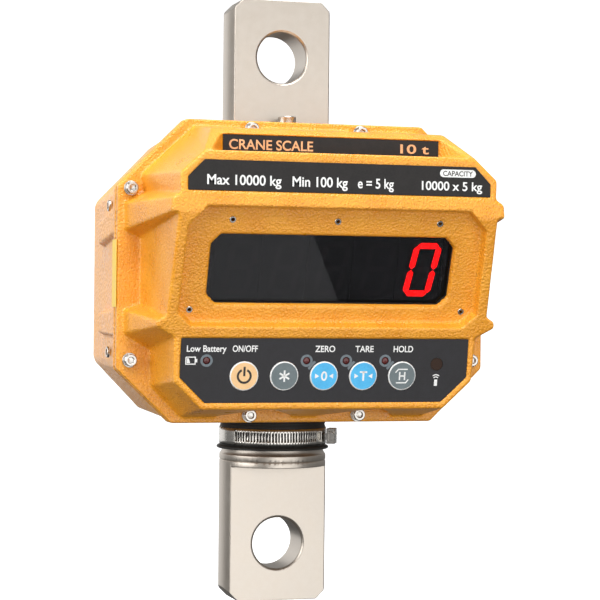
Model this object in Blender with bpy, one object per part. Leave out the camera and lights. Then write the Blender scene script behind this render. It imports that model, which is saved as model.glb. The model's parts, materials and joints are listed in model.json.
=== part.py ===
"""Ten-tonne crane scale: a steel load-cell bar with an eye at each end, carrying a two-part cast casing.

Run it with blender --background --python part.py, or from Blender's text editor. Lengths are written in
millimetres and turned into metres by MM as they enter a mesh or a location. X runs to the right seen from
the display, Y to the back and Z up. The world origin is the centre of the upper eye; the casing is drawn
about the middle of the bar, in the frame of the empty called casing_frame.
"""

from math import atan2, cos, degrees, pi, radians, sin, sqrt

import bmesh
import bpy
from mathutils import Vector

MM = 0.001
GAP = 0.3  # clearance between pieces that rest on each other

# Load-cell bar
UPPER_EYE_Z, LOWER_EYE_Z = 176.0, -177.0
EYE_REACH = 41.5  # from an eye's centre to the end of the bar
BAR_R = 39.0
EYE_HALF_THICKNESS = 16.0
EYE_BORE_R = 18.5
EYE_BORE_CHAMFER = 1.5
EYE_CORNER = 9.4  # 45 degree corner chamfer
NECK_R = 36.5
GAUGE_R, GAUGE_LOW, GAUGE_HIGH = 30.0, -62.0, 66.0  # the waist that carries the strain gauges
SLEEVE_T, SLEEVE_LOW, SLEEVE_HIGH = 3.0, -45.0, 50.0
CABLE_R = 2.0
SHOULDER_Z = 106.0  # the casing hangs on this face
LOWER_SHOULDER_Z = -112.6
LOWER_FLAT_Z = -121.0
RELIEF_TOP, RELIEF_DEPTH = 124.2, 0.3  # the flats are relieved where the casing closes round them

# Upper fixing: two M8 screws and a plate hold the casing on the bar's shoulder
RETAINING_Y, RETAINING_R = 30.0, 4.0
RETAINING_HEAD_R, RETAINING_HEAD_H, RETAINING_LENGTH = 6.5, 8.0, 32.4
RETAINING_SOCKET, RETAINING_SOCKET_DEPTH = 3.0, 4.5  # half across flats
RETAINING_PLATE_T = 1.8
BOSS_LOW, BOSS_HIGH, BOSS_R = 108.0, 121.5, 46.0
SEAL_R = 44.0

# Casing, as outlines of (half width, height) from the top centre round to the bottom centre
FLANGE_OUTLINE = ((85.8, 123.7), (133.0, 76.8), (133.0, -48.0), (94.5, -85.3))
REAR_ROOT_OUTLINE = ((83.5, 121.0), (128.8, 75.5), (128.8, -47.0), (92.5, -84.6))
REAR_FACE_OUTLINE = ((78.0, 115.0), (121.0, 70.6), (121.0, -46.2), (85.0, -83.7))
WALL = 4.5
FLANGE_FRONT_Y, FLANGE_T, GASKET_T = -77.6, 6.0, 2.0
REAR_Y = 70.0
REAR_RIBS = (((64, 46), (53, 39)), ((-8, -25), (-11, -24)))  # heights at the flange, then at the far end
RIB_FRONT, RIB_BACK = (-64.5, 132.4, 122.0), (8.0, 129.6, 119.0)  # depth, outer and inner half width
SIDE_HOLE_R, SIDE_HOLE_Y, SIDE_HOLE_HEIGHTS = 2.6, -25.0, (65.0, -38.0)

# The casing front in profile: (height, depth) of its folds
FRONT_FOLDS = ((113.6, -132.6), (96.3, -161.7), (56.0, -163.0), (-25.0, -134.2), (-73.4, -126.8))
# One side of the casing front: half width and height in front, then half width and height at the flange
FRONT_SIDE = (
    (81.6, 113.6, 80.0, 119.0),  # brow
    (93.2, 96.3, 104.0, 96.8),  # ridge over the rating plate
    (109.3, 81.4, 117.4, 84.0),
    (108.8, 68.6, 114.3, 72.7),
    (114.2, 65.3, 129.2, 65.1),  # upper rib
    (115.0, 56.0, 129.0, 46.4),
    (110.0, 56.0, 117.0, 41.3),  # wall beside the display
    (112.2, -10.8, 117.1, -4.0),
    (117.8, -14.1, 129.1, -7.5),  # lower rib
    (118.7, -17.9, 128.6, -24.1),
    (105.9, -25.0, 109.6, -35.1),  # wall beside the keys
    (104.8, -54.5, 109.4, -59.5),
    (85.2, -73.4, 87.9, -81.5),
)
FRONT_FACES = ((0, 1), (1, 6), (6, 10), (10, 12))  # brow, rating face, display face, key panel
CAVITY_FOLDS = ((108.5, -127.5), (93.0, -156.0), (67.0, -157.0), (60.5, -152.2), (-21.0, -123.2),
                (-27.5, -127.7), (-69.0, -121.4))
CAVITY_SIDE = (
    (77.0, 108.5, 76.0, 113.0),
    (88.0, 93.0, 99.0, 93.0),
    (103.0, 67.0, 109.0, 70.0),
    (103.0, 60.5, 109.0, 60.5),
    (104.0, -21.0, 106.0, -22.0),
    (100.5, -27.5, 104.5, -36.0),
    (80.5, -69.0, 83.5, -76.0),
)
CAVITY_FACES = ((0, 1), (1, 2), (2, 3), (3, 4), (4, 5), (5, 6))
EDGE = 1.2  # rounding of the casing's edges

# Casing screws (M5 socket heads with washers)
SCREW_SPOTS = [(side * x, z) for x, z in ((39.5, 117.8), (124.0, 75.0), (124.0, -42.0), (39.5, -80.0))
               for side in (-1, 1)]
SCREW_R, SCREW_LENGTH, HEAD_R, HEAD_H, WASHER_R, WASHER_T = 2.5, 12.0, 4.25, 5.0, 5.0, 1.0
SCREW_SOCKET, SCREW_SOCKET_DEPTH = 2.0, 2.5  # half across flats
SCREW_HOLE_R = SCREW_R + 0.4
SCALLOP_R, SCALLOP_FRONT_R, SCALLOP_REACH = 7.4, 10.0, 26.0  # round hollows, top screws
POCKET_APEX, POCKET_FOOT, POCKET_CEILING = 39.5, (8.1, 64.9), -73.9  # wedge-shaped hollows, bottom screws

# Display, in a frame that lies in the display face: x across, y into the casing, z up the face
RECESS_OUTLINE = ((91.2, 46.7), (103.3, 33.6), (105.0, -26.3), (95.0, -35.9))
LEDGE_DEPTH, LIP_BACK = 8.0, 11.7
WINDOW_OUTLINE = ((78.0, 24.4), (83.7, 18.2), (83.7, -16.0), (78.0, -21.9))
WINDOW_DEPTH, WINDOW_T = 13.3, 3.0
LEDGE_HOLE_R = 1.6
LEDGE_HOLES = ((-72.0, 35.9), (0.0, 35.9), (72.0, 35.9), (-95.5, -26.8), (95.5, -26.8))
DIGIT_COUNT, DIGIT_PITCH, DIGIT_SIZE = 5, 32.0, (31.4, 12.0, 46.0)
DIGIT_FRONT = 17.0
BOARD_T = 1.6  # every circuit board

# Key panel, in a frame that lies in the panel: x across, y into the casing, z up the panel
PANEL_OUTLINE = ((101.0, 23.6), (101.0, -2.8), (83.3, -20.0))
PANEL_DEPTH, PANEL_FILM_FRONT = 2.0, 0.6
KEY_NAMES = ("key_power", "key_function", "key_zero", "key_tare", "key_hold")
KEY_COLOURS = ("key_orange", "key_grey", "key_blue", "key_blue", "key_grey")
KEY_MIDDLE_X, KEY_PITCH, KEY_Z, KEY_R = -1.6, 27.8, -1.8, 9.9
LED_X, LED_Z, LED_R = (-83.3, -14.2, 13.6, 41.4), 8.6, 2.4
LED_NAMES = ("led_low_battery", "led_zero", "led_tare", "led_hold")
RECEIVER_X, RECEIVER_Z, RECEIVER_R = 78.8, 6.2, 4.4
KEY_STEM_R, KEY_HOLE_R = 3.8, 4.6
KEY_BOARD_Y, KEY_BOARD_HALF, KEY_BOARD_Z = 9.2, 86.0, (-7.0, 15.0)

# Plates on the brow and the rating face
NAME_HALF, NAME_LOW, NAME_HIGH, NAME_Y = 75.5, 96.9, 108.7, -139.0
NAME_DRAFT, NAME_REACH = 0.55, 36.0  # how far the pocket's ends open out, over its depth
RATING_OUTLINE = ((93.4, 90.2), (104.3, 79.0), (104.3, 70.2))

# Rear: battery bay, door and charging socket
BATTERY_LOW, BATTERY_HIGH = (47.0, -89.0, -37.5), (97.0, 62.0, 56.5)
BAY_MARGIN = 0.8
DOOR_X, DOOR_Z, DOOR_T = (40.0, 104.0), (-60.0, 63.4), 4.0
DOOR_SEAL_T = 1.4
HINGE_Y, HINGE_Z, HINGE_R, HINGE_PIN_R = 74.2, 68.0, 3.4, 1.4
CASING_KNUCKLES, DOOR_KNUCKLE = ((44.0, 57.0), (87.0, 100.0)), (57.5, 86.5)
DOOR_SCREW_SPOTS = ((54.0, -52.0), (90.0, -52.0))
DOOR_SCREW_R, KNOB_R, KNOB_T = 2.4, 7.0, 7.0
SOCKET_X, SOCKET_Z, SOCKET_R = -82.0, -18.0, 9.0

# Main board on its bracket
BRACKET_X, BRACKET_Z, BRACKET_Y, BRACKET_T = (-108.0, 34.0), (-52.0, 76.0), -68.0, 1.5
MAIN_BOARD_Y = -56.7

# Bottom boot and its hose clamp
BOOT_R, BOOT_RIM_R = 38.6, 41.0
BAND_LOW, BAND_HIGH, BAND_T = -105.0, -93.0, 0.8
CLAMP_ANGLE = -26.0  # where the clamp's screw housing sits, in degrees from +X
HOUSING_HALF, HOUSING_TALL, HOUSING_DEEP = 5.5, 5.6, 7.2  # half length, half height and thickness
WORM_R, WORM_CENTRE = 2.8, 3.9

ROUND = 36  # sides of a large round piece
SMALL = 16  # sides of a small one


# ---- Mesh helpers -----------------------------------------------------------------------------------------

def mirrored(half_outline):
    """The whole outline from its right half, listed from top to bottom."""
    return list(half_outline) + [(-x, z) for x, z in reversed(half_outline)]


def grown(half_outline, by):
    """The right half of a convex outline, moved outwards by the same distance on every side."""
    whole = [Vector(p) for p in mirrored(half_outline)]
    out = []
    for i, corner in enumerate(whole[:len(half_outline)]):
        before = (corner - whole[i - 1]).normalized()
        after = (whole[(i + 1) % len(whole)] - corner).normalized()
        normals = [Vector((-d.y, d.x)) for d in (before, after)]
        bisector = (normals[0] + normals[1]).normalized()
        moved = corner + bisector * (by / bisector.dot(normals[0]))
        out.append((moved.x, moved.y))
    return out


def prism(outline, low, high, axis="Y"):
    """A bmesh prism of a closed outline, between two places on an axis."""
    place = {
        "X": lambda a, b, t: (t, a, b),
        "Y": lambda a, b, t: (a, t, b),
        "Z": lambda a, b, t: (a, b, t),
    }[axis]
    bm = bmesh.new()
    face = bm.faces.new([bm.verts.new(Vector(place(a, b, low)) * MM) for a, b in outline])
    moved = bmesh.ops.extrude_face_region(bm, geom=[face])["geom"]
    offset = Vector(place(0, 0, high - low)) * MM
    bmesh.ops.translate(bm, vec=offset, verts=[v for v in moved if isinstance(v, bmesh.types.BMVert)])
    return bm


def block(low, high):
    """A box between two corners."""
    outline = ((low[0], low[2]), (high[0], low[2]), (high[0], high[2]), (low[0], high[2]))
    return prism(outline, low[1], high[1])


def ring_block(outer, inner, low, high):
    """A flat ring between two outlines with the same number of corners."""
    bm = bmesh.new()
    loops = []
    for outline, y in ((outer, low), (inner, low), (inner, high), (outer, high)):
        loops.append([bm.verts.new(Vector((x, y, z)) * MM) for x, z in outline])
    for one, two in zip(loops, loops[1:] + loops[:1]):
        for i in range(len(one)):
            j = (i + 1) % len(one)
            bm.faces.new((one[i], one[j], two[j], two[i]))
    return bm


def loft(rings):
    """A closed body through rings of 3-D points, capped at both ends."""
    bm = bmesh.new()
    loops = [[bm.verts.new(Vector(p) * MM) for p in ring] for ring in rings]
    for one, two in zip(loops, loops[1:]):
        for i in range(len(one)):
            j = (i + 1) % len(one)
            bm.faces.new((one[i], one[j], two[j], two[i]))
    bm.faces.new(loops[0])
    bm.faces.new(loops[-1])
    return bm


def turned(profile, sides=SMALL, closed=False):
    """A body turned about Z from points of (radius, height). A closed profile makes a ring."""
    bm = bmesh.new()
    verts = [bm.verts.new((r * MM, 0, z * MM)) for r, z in profile]
    pairs = list(zip(verts, verts[1:])) + ([(verts[-1], verts[0])] if closed else [])
    edges = [bm.edges.new(pair) for pair in pairs]
    bmesh.ops.spin(bm, geom=verts + edges, cent=(0, 0, 0), axis=(0, 0, 1), angle=2 * pi, steps=sides,
                   use_merge=True)
    bmesh.ops.remove_doubles(bm, verts=bm.verts, dist=1e-7)
    return bm


def disc(radius, low, high, sides=SMALL):
    return turned(((0, low), (radius, low), (radius, high), (0, high)), sides)


def tube(outer, inner, low, high, sides=ROUND):
    return turned(((inner, low), (outer, low), (outer, high), (inner, high)), sides, closed=True)


def stepped_front(side, folds, faces, base_y):
    """The casing front: side walls that rise from the flange to a front folded along level lines."""
    def depth(height):
        for (z0, y0), (z1, y1) in zip(folds, folds[1:]):
            if z1 <= height <= z0:
                return y0 + (y1 - y0) * (z0 - height) / (z0 - z1)
        return folds[-1][1]

    bm = bmesh.new()
    new = bm.verts.new
    fronts = [[new(Vector((s * x, depth(z), z)) * MM) for x, z, _, _ in side] for s in (-1, 1)]
    bases = [[new(Vector((s * x, base_y, z)) * MM) for _, _, x, z in side] for s in (-1, 1)]
    for front, base in zip(fronts, bases):
        for i in range(len(side) - 1):
            bm.faces.new((front[i], front[i + 1], base[i + 1], base[i]))
    left, right = fronts
    for first, last in faces:
        bm.faces.new(left[first:last + 1] + right[first:last + 1][::-1])
    for i in (0, -1):
        bm.faces.new((left[i], right[i], bases[1][i], bases[0][i]))
    bm.faces.new(bases[0] + bases[1][::-1])
    return bm


# ---- Objects, materials and Booleans ----------------------------------------------------------------------

def material(name, colour, roughness, metallic=0.0, alpha=1.0):
    made = bpy.data.materials.new(name)
    made.use_nodes = True
    shader = made.node_tree.nodes["Principled BSDF"]
    shader.inputs["Base Color"].default_value = (*colour, 1.0)
    shader.inputs["Roughness"].default_value = roughness
    shader.inputs["Metallic"].default_value = metallic
    shader.inputs["Alpha"].default_value = alpha
    made.diffuse_color = (*colour, alpha)
    return made


def add(name, bm, look, parent, place=(0, 0, 0), turn=(0, 0, 0)):
    """Makes an object from a bmesh. turn is in degrees about X, Y and Z."""
    bmesh.ops.recalc_face_normals(bm, faces=bm.faces)
    mesh = bpy.data.meshes.new(name)
    bm.to_mesh(mesh)
    bm.free()
    obj = bpy.data.objects.new(name, mesh)
    bpy.context.scene.collection.objects.link(obj)
    obj.parent = parent
    obj.location = Vector(place) * MM
    obj.rotation_euler = [radians(a) for a in turn]
    if look is not None:
        mesh.materials.append(look)
    mesh.shade_smooth()
    mesh.set_sharp_from_angle(angle=radians(30))
    return obj


def empty(name, parent, place, turn=(0, 0, 0)):
    made = bpy.data.objects.new(name, None)
    bpy.context.scene.collection.objects.link(made)
    made.parent = parent
    made.location = Vector(place) * MM
    made.rotation_euler = [radians(a) for a in turn]
    return made


def helper(bm, parent, place=(0, 0, 0), turn=(0, 0, 0)):
    """A body that only shapes another one."""
    made = add("shaping", bm, None, parent, place, turn)
    made.hide_render = True
    made.display_type = "WIRE"
    return made


def shape(target, operation, bm, place=(0, 0, 0), turn=(0, 0, 0), parent="same"):
    """Adds a Boolean of a helper body, placed in the target's parent frame unless another is named."""
    tool = helper(bm, target.parent if parent == "same" else parent, place, turn)
    modifier = target.modifiers.new(operation.lower(), "BOOLEAN")
    modifier.operation = operation
    modifier.object = tool
    return tool


def cut(target, bm, place=(0, 0, 0), turn=(0, 0, 0), parent="same"):
    return shape(target, "DIFFERENCE", bm, place, turn, parent)


def join(target, bm, place=(0, 0, 0), turn=(0, 0, 0), parent="same"):
    return shape(target, "UNION", bm, place, turn, parent)


def rounded(obj, width, segments=1, angle=25):
    bevel = obj.modifiers.new("edges", "BEVEL")
    bevel.width = width * MM
    bevel.segments = segments
    bevel.limit_method = "ANGLE"
    bevel.angle_limit = radians(angle)
    return obj


# ---- Load-cell bar ----------------------------------------------------------------------------------------

def eye_section(grow=0.0, sides=32):
    """The section of an eye: a disc of the bar's radius between two flats, as (x, y) points."""
    radius, half = BAR_R + grow, EYE_HALF_THICKNESS + grow
    limit = atan2(half, sqrt(radius ** 2 - half ** 2))
    steps = sides // 4
    right = [(radius * cos(a), radius * sin(a)) for a in
             (-limit + 2 * limit * i / steps for i in range(steps + 1))]
    return right + [(-x, -y) for x, y in right]


def make_load_cell(frame, steel):
    bottom, top = LOWER_EYE_Z - EYE_REACH, UPPER_EYE_Z + EYE_REACH
    groove = LOWER_SHOULDER_Z - 4.2
    profile = (
        (0, bottom), (BAR_R, bottom), (BAR_R, groove - 0.7), (BAR_R - 0.7, groove), (BAR_R, groove + 0.7),
        (BAR_R, LOWER_SHOULDER_Z), (BAR_R - 0.8, LOWER_SHOULDER_Z + 0.9), (NECK_R, LOWER_SHOULDER_Z + 4.0),
        (NECK_R, GAUGE_LOW - 8), (GAUGE_R, GAUGE_LOW), (GAUGE_R, GAUGE_HIGH), (BAR_R, GAUGE_HIGH + 10),
        (BAR_R, top), (0, top),
    )
    bar = add("load_cell", turned(profile, ROUND), steel, frame)
    reach = BAR_R + 3
    for low, high in ((bottom - 5, LOWER_FLAT_Z), (SHOULDER_Z, top + 5)):
        for near, far in ((EYE_HALF_THICKNESS, reach), (-reach, -EYE_HALF_THICKNESS)):
            cut(bar, block((-reach, near, low), (reach, far, high)))
    relief = EYE_HALF_THICKNESS - RELIEF_DEPTH
    for near, far in ((relief, reach), (-reach, -relief)):
        cut(bar, block((-reach - 1, near, SHOULDER_Z + 0.1), (reach + 1, far, RELIEF_TOP)))
    for end, direction in ((bottom, 1), (top, -1)):
        for side in (-1, 1):
            corner = (
                (side * (BAR_R - EYE_CORNER), end), (side * (BAR_R + 1), end + direction * (EYE_CORNER + 1)),
                (side * (BAR_R + 1), end - direction * 1), (side * (BAR_R - EYE_CORNER), end - direction * 1),
            )
            cut(bar, prism(corner, -reach, reach))
    half, flare = EYE_HALF_THICKNESS, EYE_BORE_CHAMFER
    bore = (
        (0, -half - 1), (EYE_BORE_R + flare + 1, -half - 1), (EYE_BORE_R, -half + flare),
        (EYE_BORE_R, half - flare), (EYE_BORE_R + flare + 1, half + 1), (0, half + 1),
    )
    for height in (UPPER_EYE_Z, LOWER_EYE_Z):
        cut(bar, turned(bore, ROUND), (0, 0, height), (90, 0, 0))
    for side in (-1, 1):
        cut(bar, disc(RETAINING_R + 0.4, 86, SHOULDER_Z + 1), (0, side * RETAINING_Y, 0))
    return bar


def make_gauge_sleeve(frame, look):
    return add("gauge_sleeve", tube(GAUGE_R + SLEEVE_T, GAUGE_R + GAP, SLEEVE_LOW, SLEEVE_HIGH), look,
               frame)


def make_upper_fixing(frame, rubber, steel, chrome):
    """Gasket on the bar's shoulder, then the casing, then the plate and its two screws."""
    seal = add("upper_seal", disc(SEAL_R, SHOULDER_Z + GAP, BOSS_LOW - GAP, ROUND), rubber, frame)
    plate_low = BOSS_HIGH + GAP
    plate = add("retaining_plate", disc(SEAL_R, plate_low, plate_low + RETAINING_PLATE_T, ROUND), steel,
                frame)
    for piece in (seal, plate):
        cut(piece, prism(eye_section(0.5), SHOULDER_Z - 1, BOSS_HIGH + 10, "Z"))
        for side in (-1, 1):
            cut(piece, disc(RETAINING_R + 0.4, 100, 130), (0, side * RETAINING_Y, 0))
    seat = plate_low + RETAINING_PLATE_T + GAP
    for number, side in enumerate((-1, 1), 1):
        place = (0, side * RETAINING_Y, seat)
        body = socket_screw(RETAINING_R, RETAINING_HEAD_R, RETAINING_HEAD_H, RETAINING_LENGTH)
        screw = add(f"retaining_screw_{number}", body, chrome, frame, place)
        cut(screw, hex_socket(RETAINING_SOCKET, RETAINING_SOCKET_DEPTH, RETAINING_HEAD_H), place)


def socket_screw(shank_r, head_r, head_h, length, washer_r=0.0, washer_t=0.0):
    """A cap screw seated at z = 0 with its head above. A washer, if any, is under the head."""
    profile = [(0, -length), (shank_r, -length), (shank_r, 0)]
    if washer_r:
        profile += [(washer_r, 0), (washer_r, washer_t)]
    profile += [(head_r, washer_t), (head_r, washer_t + head_h - 0.6), (head_r - 0.6, washer_t + head_h)]
    return turned(profile + [(0, washer_t + head_h)], SMALL)


def hex_socket(half_flats, depth, top):
    radius = half_flats / cos(pi / 6)
    outline = [(radius * cos(i * pi / 3), radius * sin(i * pi / 3)) for i in range(6)]
    return prism(outline, top - depth, top + 1, "Z")


# ---- Casing -----------------------------------------------------------------------------------------------

def screw_holes(target, low, high):
    for x, z in SCREW_SPOTS:
        cut(target, disc(SCREW_HOLE_R, low, high, 16), (x, 0, z), (90, 0, 0))


def scallop(grow):
    """The hollow round a top casing screw, widening towards the front."""
    near, far = -8 * grow, SCALLOP_REACH + grow
    return turned(((0, near), (SCALLOP_R + grow, near), (SCALLOP_FRONT_R + grow, far), (0, far)), SMALL)


def pocket(side, grow):
    """The hollow round a bottom casing screw: a wedge under the casing, narrow in front and wide behind."""
    front, back = FRONT_FOLDS[-1][1] - 2 - grow, FLANGE_FRONT_Y - 0.2 + grow
    near, far = POCKET_FOOT
    outline = ((POCKET_APEX - 1.5 - grow, front), (POCKET_APEX + 1.5 + grow, front), (far + grow, back),
               (near - grow, back))
    return prism([(side * x, y) for x, y in outline], -100, POCKET_CEILING + grow, "Z")


def make_front_casing(frame, display, panel, orange):
    flange_back = FLANGE_FRONT_Y + FLANGE_T
    base_y = FLANGE_FRONT_Y + 3
    casing = add("front_casing", stepped_front(FRONT_SIDE, FRONT_FOLDS, FRONT_FACES, base_y), orange, frame)
    rounded(casing, EDGE, 2, 20)
    flange = join(casing, prism(mirrored(FLANGE_OUTLINE), FLANGE_FRONT_Y, flange_back))
    rounded(flange, 0.8, 1)
    cavity = cut(casing, stepped_front(CAVITY_SIDE, CAVITY_FOLDS, CAVITY_FACES, flange_back + 1))
    top_x, top_z = SCREW_SPOTS[1]
    for side in (-1, 1):  # the cavity keeps clear of the hollows round the top and bottom screws
        spot = (side * top_x, FLANGE_FRONT_Y, top_z)
        cut(casing, scallop(0.0), spot, (90, 0, 0))
        cut(cavity, scallop(WALL - 1), spot, (90, 0, 0))
        cut(casing, pocket(side, 0.0))
        cut(cavity, pocket(side, WALL - 1))
    cut(casing, name_pocket(0.0))
    cut(cavity, name_pocket(WALL - 1))
    cut(casing, prism(mirrored(grown(RATING_OUTLINE, 0.5)), -175, -161.2))
    recess = [[(x, -6, z) for x, z in mirrored(grown(RECESS_OUTLINE, 0.8))],
              [(x, LEDGE_DEPTH, z) for x, z in mirrored(grown(RECESS_OUTLINE, -1.0))]]
    cut(casing, loft(recess), parent=display)
    opening = [[(x, LEDGE_DEPTH - 0.5, z) for x, z in mirrored(grown(WINDOW_OUTLINE, 2.2))],
               [(x, LIP_BACK + 1, z) for x, z in mirrored(WINDOW_OUTLINE)]]
    cut(casing, loft(opening), parent=display)
    for x, z in LEDGE_HOLES:
        cut(casing, disc(LEDGE_HOLE_R, -6.5, 6, 12), (x, LEDGE_DEPTH, z), (90, 0, 0), display)
    cut(casing, prism(mirrored(grown(PANEL_OUTLINE, 0.4)), -4, PANEL_DEPTH), parent=panel)
    for x in key_places():
        cut(casing, disc(KEY_HOLE_R, -20, 4), (x, 0, KEY_Z), (90, 0, 0), panel)
    for x in LED_X:
        cut(casing, disc(LED_R + 0.4, -20, 4, 16), (x, 0, LED_Z), (90, 0, 0), panel)
    cut(casing, disc(RECEIVER_R + 0.5, -20, 4), (RECEIVER_X, 0, RECEIVER_Z), (90, 0, 0), panel)
    screw_holes(casing, -flange_back - 3, -FLANGE_FRONT_Y + 3)
    return casing


def name_pocket(grow):
    """The hollow for the name plate, whose ends open out towards the front."""
    low, high = NAME_LOW - 0.4 - grow, NAME_HIGH + 0.4 + grow
    narrow, back = NAME_HALF + 0.7 + grow, NAME_Y + 1.3 + grow
    rings = []
    for half, y in ((narrow, back), (narrow + NAME_DRAFT * NAME_REACH, back - NAME_REACH)):
        rings.append([(-half, y, low), (half, y, low), (half, y, high), (-half, y, high)])
    return loft(rings)


def rear_rib(side, root, end):
    """A side rib of the rear casing, from the flange back along the wall."""
    rings = []
    for (y, outer, inner), (high, low) in ((RIB_FRONT, root), (RIB_BACK, end)):
        rings.append([(side * x, y, z) for x, z in ((inner, high + 3), (outer, high), (outer, low),
                                                    (inner, low - 6))])
    return loft(rings)


def make_rear_casing(frame, orange):
    front = FLANGE_FRONT_Y + FLANGE_T + GASKET_T + 2 * GAP
    back = front + FLANGE_T
    outlines = ((back - 3, REAR_ROOT_OUTLINE), (REAR_Y, REAR_FACE_OUTLINE))
    walls = loft([[(x, y, z) for x, z in mirrored(o)] for y, o in outlines])
    shell = add("rear_casing", walls, orange, frame)
    rounded(shell, 2.5, 1, 20)
    flange = join(shell, prism(mirrored(FLANGE_OUTLINE), front, back))
    rounded(flange, 0.8, 1)
    for side in (-1, 1):
        for root, end in REAR_RIBS:
            join(shell, rear_rib(side, root, end))
        for height in SIDE_HOLE_HEIGHTS:  # tapped holes for side fittings
            cut(shell, disc(SIDE_HOLE_R, -140, -122, 16), (0, SIDE_HOLE_Y, height), (0, 90 * side, 0))
    join(shell, disc(BOSS_R - 1, BOSS_LOW + 3, BOSS_HIGH, ROUND))
    inner = ((front - 1, grown(REAR_ROOT_OUTLINE, -WALL)), (REAR_Y - WALL, grown(REAR_FACE_OUTLINE, -WALL)))
    cavity = cut(shell, loft([[(x, y, z) for x, z in mirrored(o)] for y, o in inner]))
    cut(cavity, disc(BOSS_R, BOSS_LOW, BOSS_HIGH + 9, ROUND))
    cut(shell, prism(eye_section(0.6), BOSS_LOW - 5, BOSS_HIGH + 5, "Z"))
    for side in (-1, 1):
        cut(shell, disc(RETAINING_R + 0.4, BOSS_LOW - 5, BOSS_HIGH + 5), (0, side * RETAINING_Y, 0))
    cut(shell, disc(BOOT_R + 0.6, -95, -70, ROUND))
    low, high = BATTERY_LOW, BATTERY_HIGH
    cut(shell, block((low[0] - BAY_MARGIN, 40, low[2] - BAY_MARGIN),
                     (high[0] + BAY_MARGIN, REAR_Y + 5, high[2] + BAY_MARGIN)))
    for near, far in CASING_KNUCKLES:
        join(shell, block((near + 1, REAR_Y - 2, HINGE_Z - 2), (far - 1, HINGE_Y - 1, HINGE_Z + 2)))
        join(shell, disc(HINGE_R, near, far), (0, HINGE_Y, HINGE_Z), (0, 90, 0))
    cut(shell, disc(HINGE_PIN_R + GAP, 30, 110), (0, HINGE_Y, HINGE_Z), (0, 90, 0))
    for x, z in DOOR_SCREW_SPOTS:
        cut(shell, disc(DOOR_SCREW_R + 1.0, -REAR_Y - 2, -REAR_Y + 12), (x, 0, z), (90, 0, 0))
    cut(shell, disc(SOCKET_R - 1.5, -REAR_Y - 2, -REAR_Y + 12), (SOCKET_X, 0, SOCKET_Z), (90, 0, 0))
    screw_holes(shell, -back - 0.5, -front + 1)
    return shell


def make_casing_gasket(frame, rubber):
    low = FLANGE_FRONT_Y + FLANGE_T + GAP
    outer = mirrored(grown(FLANGE_OUTLINE, -0.8))
    inner = mirrored(((76.0, 111.5), (110.0, 72.0), (108.0, -44.0), (84.0, -73.0)))
    gasket = add("casing_gasket", ring_block(outer, inner, low, low + GASKET_T), rubber, frame)
    screw_holes(gasket, -low - GASKET_T - 1, -low + 1)


def make_casing_screws(frame, chrome):
    seat = FLANGE_FRONT_Y - GAP
    for number, (x, z) in enumerate(SCREW_SPOTS, 1):
        body = socket_screw(SCREW_R, HEAD_R, HEAD_H, SCREW_LENGTH, WASHER_R, WASHER_T)
        screw = add(f"casing_screw_{number}", body, chrome, frame, (x, seat, z), (90, 0, 0))
        cut(screw, hex_socket(SCREW_SOCKET, SCREW_SOCKET_DEPTH, WASHER_T + HEAD_H), (x, seat, z), (90, 0, 0))


# ---- Display ----------------------------------------------------------------------------------------------

def make_display(display, looks):
    lip = mirrored(grown(WINDOW_OUTLINE, 0.5))
    glass = mirrored(grown(WINDOW_OUTLINE, 4.0))
    add("window_gasket", ring_block(glass, lip, LIP_BACK + GAP, WINDOW_DEPTH - GAP), looks["rubber"], display)
    add("display_window", prism(glass, WINDOW_DEPTH, WINDOW_DEPTH + WINDOW_T), looks["smoked"], display)
    width, depth, height = DIGIT_SIZE
    for number in range(DIGIT_COUNT):
        x = (number - (DIGIT_COUNT - 1) / 2) * DIGIT_PITCH
        digit = block((-width / 2, 0, -height / 2), (width / 2, depth, height / 2))
        add(f"digit_module_{number + 1}", digit, looks["digit"], display, (x, DIGIT_FRONT, 0.6))
    board_y = DIGIT_FRONT + depth + GAP
    half = DIGIT_COUNT * DIGIT_PITCH / 2 + 3
    add("display_board", block((-half, board_y, -25), (half, board_y + BOARD_T, 26)), looks["board"], display)


# ---- Plates -----------------------------------------------------------------------------------------------

def make_plates(frame, looks):
    add("name_plate", block((-NAME_HALF, NAME_Y, NAME_LOW), (NAME_HALF, NAME_Y + 1.0, NAME_HIGH)),
        looks["plate"], frame)
    add("rating_plate", prism(mirrored(RATING_OUTLINE), -162.3, -161.5), looks["plate"], frame)
    front, back = FLANGE_FRONT_Y + 0.3, FLANGE_FRONT_Y + 2 * FLANGE_T + GASKET_T
    side = FLANGE_OUTLINE[1][0] + GAP
    add("seal_sticker", block((-side - 0.35, front, -6.0), (-side, back, 40.0)), looks["sticker"], frame)


# ---- Key panel --------------------------------------------------------------------------------------------

def key_places():
    return [KEY_MIDDLE_X + KEY_PITCH * (i - 2) for i in range(len(KEY_NAMES))]


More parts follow.
